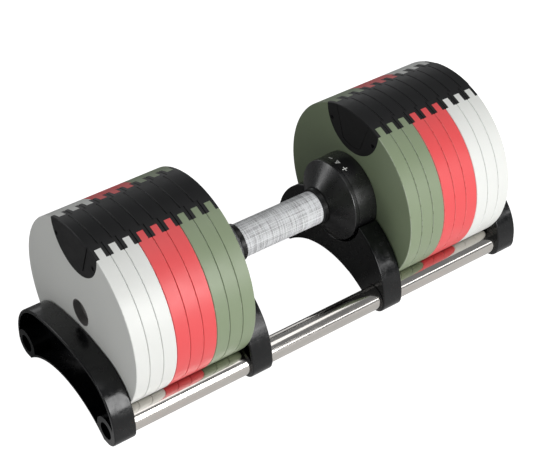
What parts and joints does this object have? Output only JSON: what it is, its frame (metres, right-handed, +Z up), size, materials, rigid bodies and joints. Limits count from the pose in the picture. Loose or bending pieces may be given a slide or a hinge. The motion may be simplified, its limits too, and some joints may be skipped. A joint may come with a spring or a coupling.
{
  "type": "adjustable dumbbell",
  "caption": "Adjustable dumbbell with coloured lift-out plates, a twist grip that drives locking rods, and a two-rail cradle with arched brackets.",
  "frame": {"origin": "on the floor under the middle of the handle", "axes": "+X along the handle towards its right-hand plates, -Y towards the front, +Z up"},
  "size_m": [0.4448, 0.172, 0.1723],
  "materials": {
    "green_paint": "satin powder coat",
    "red_paint": "satin powder coat",
    "white_paint": "satin powder coat",
    "key_plastic": "moulded, finely textured",
    "bracket_plastic": "moulded, semi-gloss",
    "hub_plastic": "moulded, satin",
    "cover_plastic": "moulded",
    "bush_plastic": "smooth",
    "polished_rail": "polished",
    "knurled_steel": "fine diamond knurl",
    "tube_steel": "drawn",
    "rod_steel": "ground",
    "pin_steel": "hardened",
    "screw_steel": "black oxide",
    "plunger_steel": "turned",
    "spring_steel": "drawn wire",
    "foot_rubber": "matt"
  },
  "bodies": {
    "cradle": {"left_outer_bracket": "bracket_plastic", "right_outer_bracket": "bracket_plastic", "left_inner_bracket": "bracket_plastic", "right_inner_bracket": "bracket_plastic", "front_rail": "polished_rail", "rear_rail": "polished_rail", "rail_screws": "screw_steel", "foot_pads": "foot_rubber"},
    "right_plate_9": {"right_plate_9": "white_paint", "right_plate_key_9": "key_plastic"},
    "right_plate_8": {"right_plate_8": "white_paint", "right_plate_key_8": "key_plastic"},
    "right_plate_7": {"right_plate_7": "white_paint", "right_plate_key_7": "key_plastic"},
    "right_plate_6": {"right_plate_6": "red_paint", "right_plate_key_6": "key_plastic"},
    "right_plate_5": {"right_plate_5": "red_paint", "right_plate_key_5": "key_plastic"},
    "right_plate_4": {"right_plate_4": "red_paint", "right_plate_key_4": "key_plastic"},
    "right_plate_3": {"right_plate_3": "green_paint", "right_plate_key_3": "key_plastic"},
    "right_plate_2": {"right_plate_2": "green_paint", "right_plate_key_2": "key_plastic"},
    "right_plate_1": {"right_plate_1": "green_paint", "right_plate_key_1": "key_plastic"},
    "left_plate_9": {"left_plate_9": "white_paint", "left_plate_key_9": "key_plastic"},
    "left_plate_8": {"left_plate_8": "white_paint", "left_plate_key_8": "key_plastic"},
    "left_plate_7": {"left_plate_7": "white_paint", "left_plate_key_7": "key_plastic"},
    "left_plate_6": {"left_plate_6": "red_paint", "left_plate_key_6": "key_plastic"},
    "left_plate_5": {"left_plate_5": "red_paint", "left_plate_key_5": "key_plastic"},
    "left_plate_4": {"left_plate_4": "red_paint", "left_plate_key_4": "key_plastic"},
    "left_plate_3": {"left_plate_3": "green_paint", "left_plate_key_3": "key_plastic"},
    "left_plate_2": {"left_plate_2": "green_paint", "left_plate_key_2": "key_plastic"},
    "left_plate_1": {"left_plate_1": "green_paint", "left_plate_key_1": "key_plastic"},
    "handle": {"left_hub_housing": "hub_plastic", "right_hub_housing": "hub_plastic", "left_hub_cover": "cover_plastic", "right_hub_cover": "cover_plastic", "grip_bushes": "bush_plastic", "hub_screws": "screw_steel", "left_plunger_spring": "spring_steel", "right_plunger_spring": "spring_steel"},
    "grip": {"grip_sleeve": "knurled_steel", "drive_tube": "tube_steel"},
    "right_rod": {"right_selector_rod": "rod_steel", "right_drive_pin": "pin_steel"},
    "right_plunger": {"right_release_plunger": "plunger_steel"},
    "left_rod": {"left_selector_rod": "rod_steel", "left_drive_pin": "pin_steel"},
    "left_plunger": {"left_release_plunger": "plunger_steel"}
  },
  "joints": [
    {"name": "right_plate_9_lift", "type": "slide", "parent": "cradle", "child": "right_plate_9", "axis": [0, 0, 1], "range_m": [0, 0.13]},
    {"name": "right_plate_8_lift", "type": "slide", "parent": "right_plate_9", "child": "right_plate_8", "axis": [0, 0, 1], "range_m": [0, 0.13]},
    {"name": "right_plate_7_lift", "type": "slide", "parent": "right_plate_8", "child": "right_plate_7", "axis": [0, 0, 1], "range_m": [0, 0.13]},
    {"name": "right_plate_6_lift", "type": "slide", "parent": "right_plate_7", "child": "right_plate_6", "axis": [0, 0, 1], "range_m": [0, 0.13]},
    {"name": "right_plate_5_lift", "type": "slide", "parent": "right_plate_6", "child": "right_plate_5", "axis": [0, 0, 1], "range_m": [0, 0.13]},
    {"name": "right_plate_4_lift", "type": "slide", "parent": "right_plate_5", "child": "right_plate_4", "axis": [0, 0, 1], "range_m": [0, 0.13]},
    {"name": "right_plate_3_lift", "type": "slide", "parent": "right_plate_4", "child": "right_plate_3", "axis": [0, 0, 1], "range_m": [0, 0.13]},
    {"name": "right_plate_2_lift", "type": "slide", "parent": "right_plate_3", "child": "right_plate_2", "axis": [0, 0, 1], "range_m": [0, 0.13]},
    {"name": "right_plate_1_lift", "type": "slide", "parent": "right_plate_2", "child": "right_plate_1", "axis": [0, 0, 1], "range_m": [0, 0.13]},
    {"name": "left_plate_9_lift", "type": "slide", "parent": "cradle", "child": "left_plate_9", "axis": [0, 0, 1], "range_m": [0, 0.13]},
    {"name": "left_plate_8_lift", "type": "slide", "parent": "left_plate_9", "child": "left_plate_8", "axis": [0, 0, 1], "range_m": [0, 0.13]},
    {"name": "left_plate_7_lift", "type": "slide", "parent": "left_plate_8", "child": "left_plate_7", "axis": [0, 0, 1], "range_m": [0, 0.13]},
    {"name": "left_plate_6_lift", "type": "slide", "parent": "left_plate_7", "child": "left_plate_6", "axis": [0, 0, 1], "range_m": [0, 0.13]},
    {"name": "left_plate_5_lift", "type": "slide", "parent": "left_plate_6", "child": "left_plate_5", "axis": [0, 0, 1], "range_m": [0, 0.13]},
    {"name": "left_plate_4_lift", "type": "slide", "parent": "left_plate_5", "child": "left_plate_4", "axis": [0, 0, 1], "range_m": [0, 0.13]},
    {"name": "left_plate_3_lift", "type": "slide", "parent": "left_plate_4", "child": "left_plate_3", "axis": [0, 0, 1], "range_m": [0, 0.13]},
    {"name": "left_plate_2_lift", "type": "slide", "parent": "left_plate_3", "child": "left_plate_2", "axis": [0, 0, 1], "range_m": [0, 0.13]},
    {"name": "left_plate_1_lift", "type": "slide", "parent": "left_plate_2", "child": "left_plate_1", "axis": [0, 0, 1], "range_m": [0, 0.13]},
    {"name": "handle_lift", "type": "slide", "parent": "right_plate_1", "child": "handle", "axis": [0, 0, 1], "range_m": [0, 0.13]},
    {"name": "grip_twist", "type": "hinge", "parent": "handle", "child": "grip", "pos_m": [0, 0, 0.0863], "axis": [1, 0, 0], "range_deg": [0, 300]},
    {"name": "right_rod_slide", "type": "slide", "parent": "handle", "child": "right_rod", "axis": [1, 0, 0], "range_m": [0, 0.113]},
    {"name": "left_rod_slide", "type": "slide", "parent": "handle", "child": "left_rod", "axis": [-1, 0, 0], "range_m": [0, 0.113]},
    {"name": "right_plunger_press", "type": "slide", "parent": "handle", "child": "right_plunger", "axis": [0, 0, 1], "range_m": [0, 0.004], "stiffness_N_per_m": 200, "springref_m": -0.01, "deforming": ["right_plunger_spring"]},
    {"name": "left_plunger_press", "type": "slide", "parent": "handle", "child": "left_plunger", "axis": [0, 0, 1], "range_m": [0, 0.004], "stiffness_N_per_m": 200, "springref_m": -0.01, "deforming": ["left_plunger_spring"]}
  ],
  "couplings": [
    {"joint": "left_plate_9_lift", "follows": "right_plate_9_lift", "ratio": 1},
    {"joint": "left_plate_8_lift", "follows": "right_plate_8_lift", "ratio": 1},
    {"joint": "left_plate_7_lift", "follows": "right_plate_7_lift", "ratio": 1},
    {"joint": "left_plate_6_lift", "follows": "right_plate_6_lift", "ratio": 1},
    {"joint": "left_plate_5_lift", "follows": "right_plate_5_lift", "ratio": 1},
    {"joint": "left_plate_4_lift", "follows": "right_plate_4_lift", "ratio": 1},
    {"joint": "left_plate_3_lift", "follows": "right_plate_3_lift", "ratio": 1},
    {"joint": "left_plate_2_lift", "follows": "right_plate_2_lift", "ratio": 1},
    {"joint": "left_plate_1_lift", "follows": "right_plate_1_lift", "ratio": 1},
    {"joint": "right_rod_slide", "follows": "grip_twist", "m_per_rad": 0.02158},
    {"joint": "left_rod_slide", "follows": "grip_twist", "m_per_rad": 0.02158}
  ]
}
